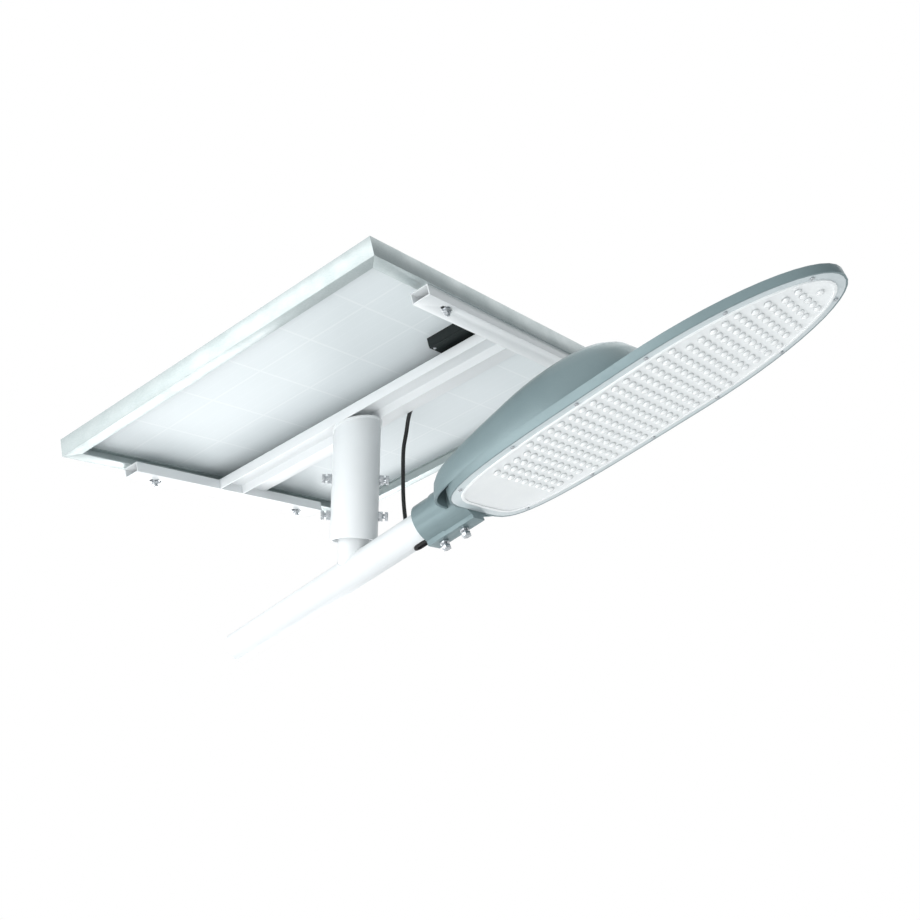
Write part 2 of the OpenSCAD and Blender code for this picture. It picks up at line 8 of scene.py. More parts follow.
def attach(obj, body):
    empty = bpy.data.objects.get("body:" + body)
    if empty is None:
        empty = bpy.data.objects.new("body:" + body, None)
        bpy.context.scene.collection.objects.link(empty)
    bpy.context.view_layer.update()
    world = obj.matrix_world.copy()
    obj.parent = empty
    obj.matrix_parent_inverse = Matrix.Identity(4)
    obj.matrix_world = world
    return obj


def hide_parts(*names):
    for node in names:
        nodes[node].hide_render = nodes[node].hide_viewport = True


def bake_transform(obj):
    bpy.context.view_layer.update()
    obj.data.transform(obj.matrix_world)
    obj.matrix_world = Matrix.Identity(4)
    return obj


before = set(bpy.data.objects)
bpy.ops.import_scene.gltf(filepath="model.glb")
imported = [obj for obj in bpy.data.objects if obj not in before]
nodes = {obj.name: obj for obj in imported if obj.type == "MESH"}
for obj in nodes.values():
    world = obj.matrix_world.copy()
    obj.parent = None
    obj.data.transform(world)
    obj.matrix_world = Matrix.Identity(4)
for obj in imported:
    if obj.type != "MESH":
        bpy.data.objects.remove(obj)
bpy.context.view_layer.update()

scene = bpy.context.scene

# ---------------------------------------------------------------- places

TILT = math.radians(24.0)
SLOPE = math.radians(17.0)
STUB_PLACE = 0.325
PANEL_RISE = 0.302
STUB = Vector((STUB_PLACE * math.cos(TILT), 0.0, STUB_PLACE * math.sin(TILT)))
PANEL = STUB + Vector((0.0, 0.0, PANEL_RISE))
HEAD_START = 0.615
LENS_PITCH = 0.021

arm_axis = Vector((math.cos(TILT), 0.0, math.sin(TILT)))
HEAD_TURN = Matrix.Translation(arm_axis * HEAD_START) @ Matrix.Rotation(-TILT, 4, "Y")

# ---------------------------------------------------------------- camera

camera_data = bpy.data.cameras.new("view")
camera_data.lens = 44.9
camera_data.sensor_width = 36.0
camera_data.clip_end = 100.0
camera = bpy.data.objects.new("view", camera_data)
scene.collection.objects.link(camera)
looking = Vector((-0.5733, 0.7914, 0.2120)).normalized()
level = looking.cross(Vector((0, 0, 1))).normalized()
upward = level.cross(looking)
roll = math.radians(0.79)
right = level * math.cos(roll) + upward * math.sin(roll)
top = upward * math.cos(roll) - level * math.sin(roll)
turn = Matrix((right, top, -looking)).transposed().to_4x4()
camera.matrix_world = Matrix.Translation((1.7085, -1.6125, -0.1133)) @ turn
scene.camera = camera

# ---------------------------------------------------------------- material tools


def new_group(name, inputs, outputs):
    """A shader group with named sockets; returns the tree and its two ends."""
    tree = bpy.data.node_groups.new(name, "ShaderNodeTree")
    for label, kind, value in inputs:
        socket = tree.interface.new_socket(label, in_out="INPUT", socket_type=kind)
        if value is not None:
            socket.default_value = value
    for label, kind in outputs:
        tree.interface.new_socket(label, in_out="OUTPUT", socket_type=kind)
    return tree, tree.nodes.new("NodeGroupInput"), tree.nodes.new("NodeGroupOutput")


def add(tree, kind, **settings):
    node = tree.nodes.new(kind)
    for key, value in settings.items():
        if key.startswith("in_"):
            node.inputs[int(key[3:]) if key[3:].isdigit() else key[3:]].default_value = value
        else:
            setattr(node, key, value)
    return node


def powder_group():
    """Powder coat: fine orange peel, a faint cloudiness and light dust on upward faces."""
    tree, start, end = new_group("powder_coat", [
        ("Base", "NodeSocketColor", (0.8, 0.8, 0.8, 1)), ("Shade", "NodeSocketColor", (0.7, 0.7, 0.7, 1)),
        ("Peel", "NodeSocketFloat", 0.15), ("Roughness", "NodeSocketFloat", 0.4),
        ("Dust", "NodeSocketFloat", 0.25)],
        [("Color", "NodeSocketColor"), ("Roughness", "NodeSocketFloat"), ("Normal", "NodeSocketVector")])
    link = tree.links.new
    coord = add(tree, "ShaderNodeTexCoord")
    cloud = add(tree, "ShaderNodeTexNoise", in_Scale=9.0, in_Detail=5.0, in_Roughness=0.6)
    peel = add(tree, "ShaderNodeTexNoise", in_Scale=420.0, in_Detail=3.0)
    speck = add(tree, "ShaderNodeTexVoronoi", in_Scale=260.0)
    for texture in (cloud, peel, speck):
        link(coord.outputs["Object"], texture.inputs["Vector"])
    mix = add(tree, "ShaderNodeMix", data_type="RGBA")
    link(start.outputs["Base"], mix.inputs[6])
    link(start.outputs["Shade"], mix.inputs[7])
    ramp = add(tree, "ShaderNodeMapRange", in_1=0.38, in_2=0.72, in_3=0.0, in_4=0.55)
    link(cloud.outputs["Fac"], ramp.inputs[0])
    link(ramp.outputs[0], mix.inputs[0])
    geometry = add(tree, "ShaderNodeNewGeometry")
    split = add(tree, "ShaderNodeSeparateXYZ")
    link(geometry.outputs["Normal"], split.inputs[0])
    facing = add(tree, "ShaderNodeMapRange", in_1=0.45, in_2=1.0, in_3=0.0, in_4=1.0)
    link(split.outputs["Z"], facing.inputs[0])
    patch = add(tree, "ShaderNodeMapRange", in_1=0.35, in_2=0.65, in_3=0.0, in_4=1.0)
    link(cloud.outputs["Fac"], patch.inputs[0])
    dusty = add(tree, "ShaderNodeMath", operation="MULTIPLY")
    link(facing.outputs[0], dusty.inputs[0])
    link(patch.outputs[0], dusty.inputs[1])
    amount = add(tree, "ShaderNodeMath", operation="MULTIPLY")
    link(dusty.outputs[0], amount.inputs[0])
    link(start.outputs["Dust"], amount.inputs[1])
    settled = add(tree, "ShaderNodeMix", data_type="RGBA")
    settled.inputs[7].default_value = (0.42, 0.40, 0.36, 1)
    link(mix.outputs[2], settled.inputs[6])
    link(amount.outputs[0], settled.inputs[0])
    link(settled.outputs[2], end.inputs["Color"])
    rough = add(tree, "ShaderNodeMath", operation="MULTIPLY_ADD", in_1=0.14)
    link(speck.outputs["Distance"], rough.inputs[0])
    link(start.outputs["Roughness"], rough.inputs[2])
    link(rough.outputs[0], end.inputs["Roughness"])
    bump = add(tree, "ShaderNodeBump", in_Distance=0.0006)
    link(start.outputs["Peel"], bump.inputs["Strength"])
    link(peel.outputs["Fac"], bump.inputs["Height"])
    link(bump.outputs[0], end.inputs["Normal"])
    return tree


def brushed_group():
    """Drawn or rolled metal: fine lines along one direction, smudges and small scratches."""
    tree, start, end = new_group("drawn_metal", [
        ("Base", "NodeSocketColor", (0.6, 0.6, 0.6, 1)), ("Shade", "NodeSocketColor", (0.5, 0.5, 0.5, 1)),
        ("Turn", "NodeSocketVector", None), ("Stretch", "NodeSocketVector", (4.0, 700.0, 700.0)),
        ("Roughness", "NodeSocketFloat", 0.3), ("Depth", "NodeSocketFloat", 0.2)],
        [("Color", "NodeSocketColor"), ("Roughness", "NodeSocketFloat"), ("Normal", "NodeSocketVector")])
    link = tree.links.new
    coord = add(tree, "ShaderNodeTexCoord")
    place = add(tree, "ShaderNodeMapping")
    link(coord.outputs["Object"], place.inputs["Vector"])
    link(start.outputs["Turn"], place.inputs["Rotation"])
    link(start.outputs["Stretch"], place.inputs["Scale"])
    lines = add(tree, "ShaderNodeTexNoise", in_Scale=1.0, in_Detail=4.0)
    link(place.outputs[0], lines.inputs["Vector"])
    smudge = add(tree, "ShaderNodeTexNoise", in_Scale=26.0, in_Detail=4.0)
    link(coord.outputs["Object"], smudge.inputs["Vector"])
    mix = add(tree, "ShaderNodeMix", data_type="RGBA")
    link(start.outputs["Base"], mix.inputs[6])
    link(start.outputs["Shade"], mix.inputs[7])
    blend = add(tree, "ShaderNodeMath", operation="MULTIPLY")
    link(lines.outputs["Fac"], blend.inputs[0])
    link(smudge.outputs["Fac"], blend.inputs[1])
    spread = add(tree, "ShaderNodeMapRange", in_1=0.12, in_2=0.40)
    link(blend.outputs[0], spread.inputs[0])
    link(spread.outputs[0], mix.inputs[0])
    link(mix.outputs[2], end.inputs["Color"])
    rough = add(tree, "ShaderNodeMath", operation="MULTIPLY_ADD", in_1=0.22)
    link(smudge.outputs["Fac"], rough.inputs[0])
    link(start.outputs["Roughness"], rough.inputs[2])
    link(rough.outputs[0], end.inputs["Roughness"])
    bump = add(tree, "ShaderNodeBump", in_Distance=0.0003)
    link(start.outputs["Depth"], bump.inputs["Strength"])
    link(lines.outputs["Fac"], bump.inputs["Height"])
    link(bump.outputs[0], end.inputs["Normal"])
    return tree


def moulded_group():
    """Moulded plastic or rubber: a fine leather-like grain and slight mottling."""
    tree, start, end = new_group("moulded_grain", [
        ("Base", "NodeSocketColor", (0.05, 0.05, 0.05, 1)), ("Shade", "NodeSocketColor", (0.1, 0.1, 0.1, 1)),
        ("Size", "NodeSocketFloat", 500.0), ("Depth", "NodeSocketFloat", 0.3),
        ("Roughness", "NodeSocketFloat", 0.5)],
        [("Color", "NodeSocketColor"), ("Roughness", "NodeSocketFloat"), ("Normal", "NodeSocketVector")])
    link = tree.links.new
    coord = add(tree, "ShaderNodeTexCoord")
    grain = add(tree, "ShaderNodeTexVoronoi", feature="SMOOTH_F1")
    link(coord.outputs["Object"], grain.inputs["Vector"])
    link(start.outputs["Size"], grain.inputs["Scale"])
    cloud = add(tree, "ShaderNodeTexNoise", in_Scale=34.0, in_Detail=5.0)
    link(coord.outputs["Object"], cloud.inputs["Vector"])
    mix = add(tree, "ShaderNodeMix", data_type="RGBA")
    link(start.outputs["Base"], mix.inputs[6])
    link(start.outputs["Shade"], mix.inputs[7])
    spread = add(tree, "ShaderNodeMapRange", in_1=0.4, in_2=0.7, in_3=0.0, in_4=0.8)
    link(cloud.outputs["Fac"], spread.inputs[0])
    link(spread.outputs[0], mix.inputs[0])
    link(mix.outputs[2], end.inputs["Color"])
    rough = add(tree, "ShaderNodeMath", operation="MULTIPLY_ADD", in_1=0.15)
    link(cloud.outputs["Fac"], rough.inputs[0])
    link(start.outputs["Roughness"], rough.inputs[2])
    link(rough.outputs[0], end.inputs["Roughness"])
    bump = add(tree, "ShaderNodeBump", in_Distance=0.0004)
    link(start.outputs["Depth"], bump.inputs["Strength"])
    link(grain.outputs["Distance"], bump.inputs["Height"])
    link(bump.outputs[0], end.inputs["Normal"])
    return tree


POWDER, DRAWN, MOULDED = powder_group(), brushed_group(), moulded_group()


def new_material(name, group, values, metallic=0.0, coat=0.0, specular=0.5):
    """A material whose colour, roughness and normal come from one of the shared groups."""
    material = bpy.data.materials.new(name)
    material.use_nodes = True
    tree = material.node_tree
    shader = tree.nodes["Principled BSDF"]
    shader.inputs["Metallic"].default_value = metallic
    shader.inputs["Coat Weight"].default_value = coat
    shader.inputs["Coat Roughness"].default_value = 0.15
    shader.inputs["Specular IOR Level"].default_value = specular
    block = tree.nodes.new("ShaderNodeGroup")
    block.node_tree = group
    for key, value in values.items():
        block.inputs[key].default_value = value
    tree.links.new(block.outputs["Color"], shader.inputs["Base Color"])
    tree.links.new(block.outputs["Roughness"], shader.inputs["Roughness"])
    tree.links.new(block.outputs["Normal"], shader.inputs["Normal"])
    return material


def rgb(r, g, b):
    return (r, g, b, 1.0)


white_coat = new_material("white_powder_coat", POWDER, {
    "Base": rgb(0.80, 0.82, 0.83), "Shade": rgb(0.74, 0.77, 0.78), "Peel": 0.22, "Roughness": 0.30,
    "Dust": 0.22})
cast_coat = new_material("grey_cast_coat", POWDER, {
    "Base": rgb(0.215, 0.285, 0.300), "Shade": rgb(0.175, 0.240, 0.255), "Peel": 0.30, "Roughness": 0.30,
    "Dust": 0.35}, metallic=0.35)
frame_metal = new_material("anodised_frame", DRAWN, {
    "Base": rgb(0.55, 0.60, 0.60), "Shade": rgb(0.46, 0.52, 0.52), "Turn": (0.0, SLOPE, 0.0),
    "Stretch": (240.0, 240.0, 900.0), "Roughness": 0.34, "Depth": 0.18}, metallic=0.55)
steel = new_material("stainless_steel", DRAWN, {
    "Base": rgb(0.62, 0.64, 0.66), "Shade": rgb(0.46, 0.48, 0.50), "Stretch": (500.0, 500.0, 500.0),
    "Roughness": 0.16, "Depth": 0.25}, metallic=1.0)
mill_metal = new_material("mill_finish_metal", DRAWN, {
    "Base": rgb(0.60, 0.61, 0.62), "Shade": rgb(0.50, 0.51, 0.52), "Turn": (0.0, TILT, 0.0),
    "Stretch": (6.0, 600.0, 600.0), "Roughness": 0.30, "Depth": 0.3}, metallic=0.9)
black_plastic = new_material("black_moulded_plastic", MOULDED, {
    "Base": rgb(0.009, 0.014, 0.014), "Shade": rgb(0.016, 0.021, 0.021), "Size": 620.0, "Depth": 0.35,
    "Roughness": 0.46}, specular=0.3)
rubber = new_material("black_rubber", MOULDED, {
    "Base": rgb(0.016, 0.016, 0.016), "Shade": rgb(0.030, 0.030, 0.030), "Size": 900.0, "Depth": 0.2,
    "Roughness": 0.62}, specular=0.3)
sheath = new_material("cable_sheath", MOULDED, {
    "Base": rgb(0.012, 0.013, 0.013), "Shade": rgb(0.022, 0.023, 0.023), "Size": 1500.0, "Depth": 0.12,
    "Roughness": 0.38}, specular=0.45)
case_coat = new_material("controller_case_coat", POWDER, {
    "Base": rgb(0.030, 0.036, 0.040), "Shade": rgb(0.045, 0.052, 0.056), "Peel": 0.6, "Roughness": 0.45,
    "Dust": 0.1})
battery_wrap = new_material("battery_shrink_sleeve", MOULDED, {
    "Base": rgb(0.020, 0.110, 0.330), "Shade": rgb(0.030, 0.150, 0.400), "Size": 160.0, "Depth": 0.05,
    "Roughness": 0.16}, coat=0.6)


def textured(name, metallic=0.0, roughness=0.4, coat=0.0, specular=0.5, transmission=0.0, ior=1.5):
    """An empty procedural material and its tree, shader and Object coordinates."""
    material = bpy.data.materials.new(name)
    material.use_nodes = True
    tree = material.node_tree
    shader = tree.nodes["Principled BSDF"]
    shader.inputs["Metallic"].default_value = metallic
    shader.inputs["Roughness"].default_value = roughness
    shader.inputs["Coat Weight"].default_value = coat
    shader.inputs["Specular IOR Level"].default_value = specular
    shader.inputs["Transmission Weight"].default_value = transmission
    shader.inputs["IOR"].default_value = ior
    coord = tree.nodes.new("ShaderNodeTexCoord")
    return material, tree, shader, coord


def panel_coordinates(tree, coord):
    """Coordinates on the sloping panel: along the beam, across it and square to it."""
    shift = add(tree, "ShaderNodeVectorMath", operation="SUBTRACT", in_1=tuple(PANEL))
    tree.links.new(coord.outputs["Object"], shift.inputs[0])
    place = add(tree, "ShaderNodeMapping", in_Rotation=(0.0, SLOPE, 0.0))
    tree.links.new(shift.outputs[0], place.inputs["Vector"])
    return place.outputs[0]


def line_mask(tree, source, pitch, offset, width):
    """1 on thin lines that repeat every pitch along one coordinate, 0 between them."""
    link = tree.links.new
    moved = add(tree, "ShaderNodeMath", operation="ADD", in_1=offset)
    link(source, moved.inputs[0])
    wave = add(tree, "ShaderNodeMath", operation="PINGPONG", in_1=pitch / 2)
    link(moved.outputs[0], wave.inputs[0])
    less = add(tree, "ShaderNodeMath", operation="LESS_THAN", in_1=width / 2)
    link(wave.outputs[0], less.inputs[0])
    return less.outputs[0]


def either(tree, a, b):
    top_one = add(tree, "ShaderNodeMath", operation="MAXIMUM")
    tree.links.new(a, top_one.inputs[0])
    tree.links.new(b, top_one.inputs[1])
    return top_one.outputs[0]


def cell_material():
    """Dark blue cells with silver bus bars, fine fingers and white gaps between them."""
    material, tree, shader, coord = textured("solar_cells", roughness=0.22, coat=0.5)
    link = tree.links.new
    split = add(tree, "ShaderNodeSeparateXYZ")
    link(panel_coordinates(tree, coord), split.inputs[0])
    u, v = split.outputs["X"], split.outputs["Y"]
    pitch_u, pitch_v = 0.123, 0.1265
    gaps = either(tree, line_mask(tree, u, pitch_u, 0.0, 0.0035), line_mask(tree, v, pitch_v, 0.0, 0.0035))
    bars = line_mask(tree, v, pitch_v / 5, pitch_v / 10, 0.0014)
    fingers = line_mask(tree, u, 0.0021, 0.0, 0.0003)
    noise = add(tree, "ShaderNodeTexNoise", in_Scale=22.0, in_Detail=3.0)
    link(coord.outputs["Object"], noise.inputs["Vector"])
    base = add(tree, "ShaderNodeMix", data_type="RGBA")
    base.inputs[6].default_value = rgb(0.006, 0.012, 0.045)
    base.inputs[7].default_value = rgb(0.010, 0.022, 0.075)
    link(noise.outputs["Fac"], base.inputs[0])
    colour = base.outputs[2]
    for mask, tone, share in ((fingers, rgb(0.16, 0.18, 0.22), 0.55), (bars, rgb(0.55, 0.57, 0.60), 1.0),
                              (gaps, rgb(0.72, 0.75, 0.78), 1.0)):
        layer = add(tree, "ShaderNodeMix", data_type="RGBA")
        layer.inputs[7].default_value = tone
        part = add(tree, "ShaderNodeMath", operation="MULTIPLY", in_1=share)
        link(mask, part.inputs[0])
        link(part.outputs[0], layer.inputs[0])
        link(colour, layer.inputs[6])
        colour = layer.outputs[2]
    link(colour, shader.inputs["Base Color"])
    return material


def back_sheet_material():
    """White backing film through which the cell rows show as faint lines and shades."""
    material, tree, shader, coord = textured("backing_film", roughness=0.55, specular=0.35)
    link = tree.links.new
    split = add(tree, "ShaderNodeSeparateXYZ")
    link(panel_coordinates(tree, coord), split.inputs[0])
    u, v = split.outputs["X"], split.outputs["Y"]
    gaps = either(tree, line_mask(tree, u, 0.123, 0.0, 0.004), line_mask(tree, v, 0.1265, 0.0, 0.004))
    bars = line_mask(tree, v, 0.1265 / 5, 0.1265 / 10, 0.0025)
    cloud = add(tree, "ShaderNodeTexNoise", in_Scale=5.0, in_Detail=5.0)
    link(coord.outputs["Object"], cloud.inputs["Vector"])
    base = add(tree, "ShaderNodeMix", data_type="RGBA")
    base.inputs[6].default_value = rgb(0.70, 0.75, 0.76)
    base.inputs[7].default_value = rgb(0.76, 0.80, 0.82)
    link(cloud.outputs["Fac"], base.inputs[0])
    colour = base.outputs[2]
    for mask, tone, share in ((bars, rgb(0.78, 0.82, 0.84), 0.25), (gaps, rgb(0.84, 0.87, 0.88), 0.40)):
        layer = add(tree, "ShaderNodeMix", data_type="RGBA")
        layer.inputs[7].default_value = tone
        part = add(tree, "ShaderNodeMath", operation="MULTIPLY", in_1=share)
        link(mask, part.inputs[0])
        link(part.outputs[0], layer.inputs[0])
        link(colour, layer.inputs[6])
        colour = layer.outputs[2]
    link(colour, shader.inputs["Base Color"])
    weave = add(tree, "ShaderNodeTexNoise", in_Scale=700.0, in_Detail=2.0)
    link(coord.outputs["Object"], weave.inputs["Vector"])
    height = add(tree, "ShaderNodeMath", operation="MULTIPLY_ADD", in_1=0.4)
    link(gaps, height.inputs[0])
    link(weave.outputs["Fac"], height.inputs[2])
    bump = add(tree, "ShaderNodeBump", in_Strength=0.25, in_Distance=0.0004)
    link(height.outputs[0], bump.inputs["Height"])
    link(bump.outputs[0], shader.inputs["Normal"])
    return material


def glass_material():
    """Tempered cover glass with the faint pebbled texture of solar glass."""
    material, tree, shader, coord = textured("solar_glass", roughness=0.04, transmission=1.0, ior=1.45)
    link = tree.links.new
    tint = add(tree, "ShaderNodeTexNoise", in_Scale=3.0, in_Detail=2.0)
    link(coord.outputs["Object"], tint.inputs["Vector"])
    ramp = add(tree, "ShaderNodeMix", data_type="RGBA")
    ramp.inputs[6].default_value = rgb(0.93, 0.97, 0.97)
    ramp.inputs[7].default_value = rgb(0.97, 0.99, 0.99)
    link(tint.outputs["Fac"], ramp.inputs[0])
    link(ramp.outputs[2], shader.inputs["Base Color"])
    pebbles = add(tree, "ShaderNodeTexVoronoi", in_Scale=420.0)
    link(coord.outputs["Object"], pebbles.inputs["Vector"])
    bump = add(tree, "ShaderNodeBump", in_Strength=0.08, in_Distance=0.0003)
    link(pebbles.outputs["Distance"], bump.inputs["Height"])
    link(bump.outputs[0], shader.inputs["Normal"])
    return material


def head_coordinates(tree, coord):
    shift = add(tree, "ShaderNodeVectorMath", operation="SUBTRACT", in_1=tuple(arm_axis * HEAD_START))
    tree.links.new(coord.outputs["Object"], shift.inputs[0])
    place = add(tree, "ShaderNodeMapping", in_Rotation=(0.0, TILT, 0.0))
    tree.links.new(shift.outputs[0], place.inputs["Vector"])
    return place.outputs[0]


def lens_sheet_material():
    """Milky clear polycarbonate sheet over a white board."""
    material, tree, shader, coord = textured(
        "lens_sheet", roughness=0.16, coat=0.5, transmission=0.08, ior=1.5)
    link = tree.links.new
    haze = add(tree, "ShaderNodeTexNoise", in_Scale=30.0, in_Detail=4.0)
    link(coord.outputs["Object"], haze.inputs["Vector"])
    mix = add(tree, "ShaderNodeMix", data_type="RGBA")
    mix.inputs[6].default_value = rgb(0.88, 0.91, 0.91)
    mix.inputs[7].default_value = rgb(0.93, 0.95, 0.95)
    link(haze.outputs["Fac"], mix.inputs[0])
    link(mix.outputs[2], shader.inputs["Base Color"])
    ripple = add(tree, "ShaderNodeTexNoise", in_Scale=220.0, in_Detail=2.0)
    link(coord.outputs["Object"], ripple.inputs["Vector"])
    bump = add(tree, "ShaderNodeBump", in_Strength=0.06, in_Distance=0.0004)
    link(ripple.outputs["Fac"], bump.inputs["Height"])
    link(bump.outputs[0], shader.inputs["Normal"])
    return material


def dome_material():
    """Moulded lens domes of bright clear plastic, with painted shade that greys each dome towards its foot,
    where it meets the sheet.
    """
    material, tree, shader, coord = textured(
        "lens_domes", roughness=0.12, coat=1.0, transmission=0.10, ior=1.5)
    link = tree.links.new
    split = add(tree, "ShaderNodeSeparateXYZ")
    link(head_coordinates(tree, coord), split.inputs[0])
    # painted shade: the colour runs from grey at each dome's foot to bright at its crown
    depth = add(tree, "ShaderNodeMapRange", in_1=-0.0312, in_2=-0.0352, in_3=0.0, in_4=1.0)
    link(split.outputs["Z"], depth.inputs[0])
    mix = add(tree, "ShaderNodeMix", data_type="RGBA")
    mix.inputs[6].default_value = rgb(0.76, 0.80, 0.81)
    mix.inputs[7].default_value = rgb(0.95, 0.96, 0.96)
    link(depth.outputs[0], mix.inputs[0])
    link(mix.outputs[2], shader.inputs["Base Color"])
    return material


def chip_material():
    """Yellow phosphor chip faces; the inset frame round each face takes the same yellow."""
    material, tree, shader, coord = textured("led_chips", roughness=0.35)
    link = tree.links.new
    noise = add(tree, "ShaderNodeTexNoise", in_Scale=900.0)
    link(coord.outputs["Object"], noise.inputs["Vector"])
    mix = add(tree, "ShaderNodeMix", data_type="RGBA")
    mix.inputs[6].default_value = rgb(0.72, 0.60, 0.16)
    mix.inputs[7].default_value = rgb(0.85, 0.74, 0.28)
    link(noise.outputs["Fac"], mix.inputs[0])
    link(mix.outputs[2], shader.inputs["Base Color"])
    return material


def board_material():
    """White solder mask with thin traces between the chip rows."""
    material, tree, shader, coord = textured("led_board", roughness=0.3, coat=0.2)
    link = tree.links.new
    split = add(tree, "ShaderNodeSeparateXYZ")
    link(head_coordinates(tree, coord), split.inputs[0])
    traces = either(tree, line_mask(tree, split.outputs["X"], LENS_PITCH, 0.0035, 0.0009),
                    line_mask(tree, split.outputs["Y"], LENS_PITCH, 0.0105, 0.0006))
    mix = add(tree, "ShaderNodeMix", data_type="RGBA")
    mix.inputs[6].default_value = rgb(0.84, 0.86, 0.86)
    mix.inputs[7].default_value = rgb(0.66, 0.69, 0.69)
    link(traces, mix.inputs[0])
    link(mix.outputs[2], shader.inputs["Base Color"])
    return material


cells_finish = cell_material()
film_finish = back_sheet_material()
glass_finish = glass_material()
lens_finish = lens_sheet_material()
dome_finish = dome_material()
rim_finish = new_material("clear_rim_over_casting", MOULDED, {
    "Base": rgb(0.60, 0.67, 0.69), "Shade": rgb(0.66, 0.72, 0.74), "Size": 300.0, "Depth": 0.04,
    "Roughness": 0.16}, coat=0.6)
bead_finish = new_material("raised_bead", MOULDED, {
    "Base": rgb(0.93, 0.95, 0.95), "Shade": rgb(0.90, 0.92, 0.93), "Size": 300.0, "Depth": 0.03,
    "Roughness": 0.12}, coat=0.8)
chip_finish = chip_material()
board_finish = board_material()

# ---------------------------------------------------------------- mesh tools


def deselect():
    bpy.ops.object.select_all(action="DESELECT")


def active(obj):
    deselect()
    obj.select_set(True)
    bpy.context.view_layer.objects.active = obj


def apply_modifiers(obj):
    active(obj)
    for modifier in list(obj.modifiers):
        bpy.ops.object.modifier_apply(modifier=modifier.name)


def finish_piece(obj, name, material, body, replaced=()):
    """Puts the piece's place into its mesh, gives it its finish and its body."""
    obj.name = name
    obj.data.name = name
    active(obj)
    bpy.ops.object.transform_apply(location=True, rotation=True, scale=True)
    obj.data.materials.clear()
    obj.data.materials.append(material)
    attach(obj, body)
    if replaced:
        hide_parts(*replaced)
    return obj


def softened(node, name, material, body, width=0.0006, segments=2, angle=35.0, flat=0.5):
    """A copy of a CAD solid with merged points and small rounded edges, as real folded or cast metal has."""
    obj = nodes[node].copy()
    obj.data = nodes[node].data.copy()
    for key in list(obj.keys()):
        del obj[key]
    obj.parent = None
    scene.collection.objects.link(obj)
    mesh = bmesh.new()
    mesh.from_mesh(obj.data)
    bmesh.ops.remove_doubles(mesh, verts=mesh.verts, dist=0.00001)
    bmesh.ops.dissolve_limit(mesh, angle_limit=math.radians(flat), verts=mesh.verts, edges=mesh.edges)
    mesh.to_mesh(obj.data)
    mesh.free()
    if "custom_normal" in obj.data.attributes:
        obj.data.attributes.remove(obj.data.attributes["custom_normal"])
    if width:
        bevel = obj.modifiers.new("rounded_edges", "BEVEL")
        bevel.width = width
        bevel.segments = segments
        bevel.limit_method = "ANGLE"
        bevel.angle_limit = math.radians(angle)
        bevel.use_clamp_overlap = True
        bevel.miter_outer = "MITER_ARC"
    apply_modifiers(obj)
    active(obj)
    bpy.ops.object.shade_smooth_by_angle(angle=math.radians(angle + 3))
    return finish_piece(obj, name, material, body, [node])


# ---------------------------------------------------------------- panel cable

CABLE = [(549, 45.4, 530), (549, 55, 530), (535, 64, 524), (490, 68, 505), (440, 70, 486),
         (390, 75, 468), (362, 84, 458), (347, 93, 442), (340, 96, 415), (334, 96, 380),
         (337, 93, 330), (345, 86, 280), (358, 78, 235), (374, 69, 202), (389, 57, 185),
         (398, 44, 179), (402, 31, 179), (409, 16, 182), (425, 4, 189), (446, 0, 198.5),
         (475, 0, 211.5), (500, 0, 222.6), (520, 0, 231)]


def smooth_line(points, parts):
    """A smooth line through the points, with each stretch cut into equal parts."""
    line = []
    last = len(points) - 1
    for i in range(last):
        a, b, c, d = (Vector(points[min(max(k, 0), last)]) for k in (i - 1, i, i + 1, i + 2))
        for k in range(parts):
            t = k / parts
            line.append(0.5 * (2 * b + (c - a) * t + (2 * a - 5 * b + 4 * c - d) * t * t
                               + (3 * b - a - 3 * c + d) * t * t * t))
    return line + [Vector(points[last])]


def swept_tube(name, line, radius, sides):
    """A closed round tube along the line, with a UV map that runs along and round it."""
    mesh = bmesh.new()
    layer = mesh.loops.layers.uv.new("along")
    rings, run = [], 0.0
    runs = [0.0]
    for i in range(1, len(line)):
        run += (line[i] - line[i - 1]).length
        runs.append(run)
    heading = (line[1] - line[0]).normalized()
    side = heading.orthogonal().normalized()
    for i, point in enumerate(line):
        after, before = line[min(i + 1, len(line) - 1)], line[max(i - 1, 0)]
        heading = (after - before).normalized()
        side = (side - heading * side.dot(heading)).normalized()
        other = heading.cross(side)
        rings.append([mesh.verts.new(point + radius * (math.cos(t) * side + math.sin(t) * other))
                      for t in (2 * math.pi * k / sides for k in range(sides))])
    for i in range(len(rings) - 1):
        for k in range(sides):
            j = (k + 1) % sides
            face = mesh.faces.new((rings[i][k], rings[i][j], rings[i + 1][j], rings[i + 1][k]))
            corners = ((runs[i], k), (runs[i], k + 1), (runs[i + 1], k + 1), (runs[i + 1], k))
            for loop, (u, v) in zip(face.loops, corners):
                loop[layer].uv = (u, v / sides * 2 * math.pi * radius)
    mesh.faces.new(list(reversed(rings[0])))
    mesh.faces.new(rings[-1])
    bmesh.ops.recalc_face_normals(mesh, faces=mesh.faces)
    data = bpy.data.meshes.new(name)
    mesh.to_mesh(data)
    mesh.free()
    data.polygons.foreach_set("use_smooth", [len(p.vertices) == 4 for p in data.polygons])
    obj = bpy.data.objects.new(name, data)
    scene.collection.objects.link(obj)
    return obj


cable_line = [p / 1000 for p in smooth_line(CABLE, 8)]
cable = swept_tube("panel_cable_run", cable_line, 0.004, 16)
cable.data.materials.append(sheath)
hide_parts("panel_cable")
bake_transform(cable)

# ---------------------------------------------------------------- white steelwork

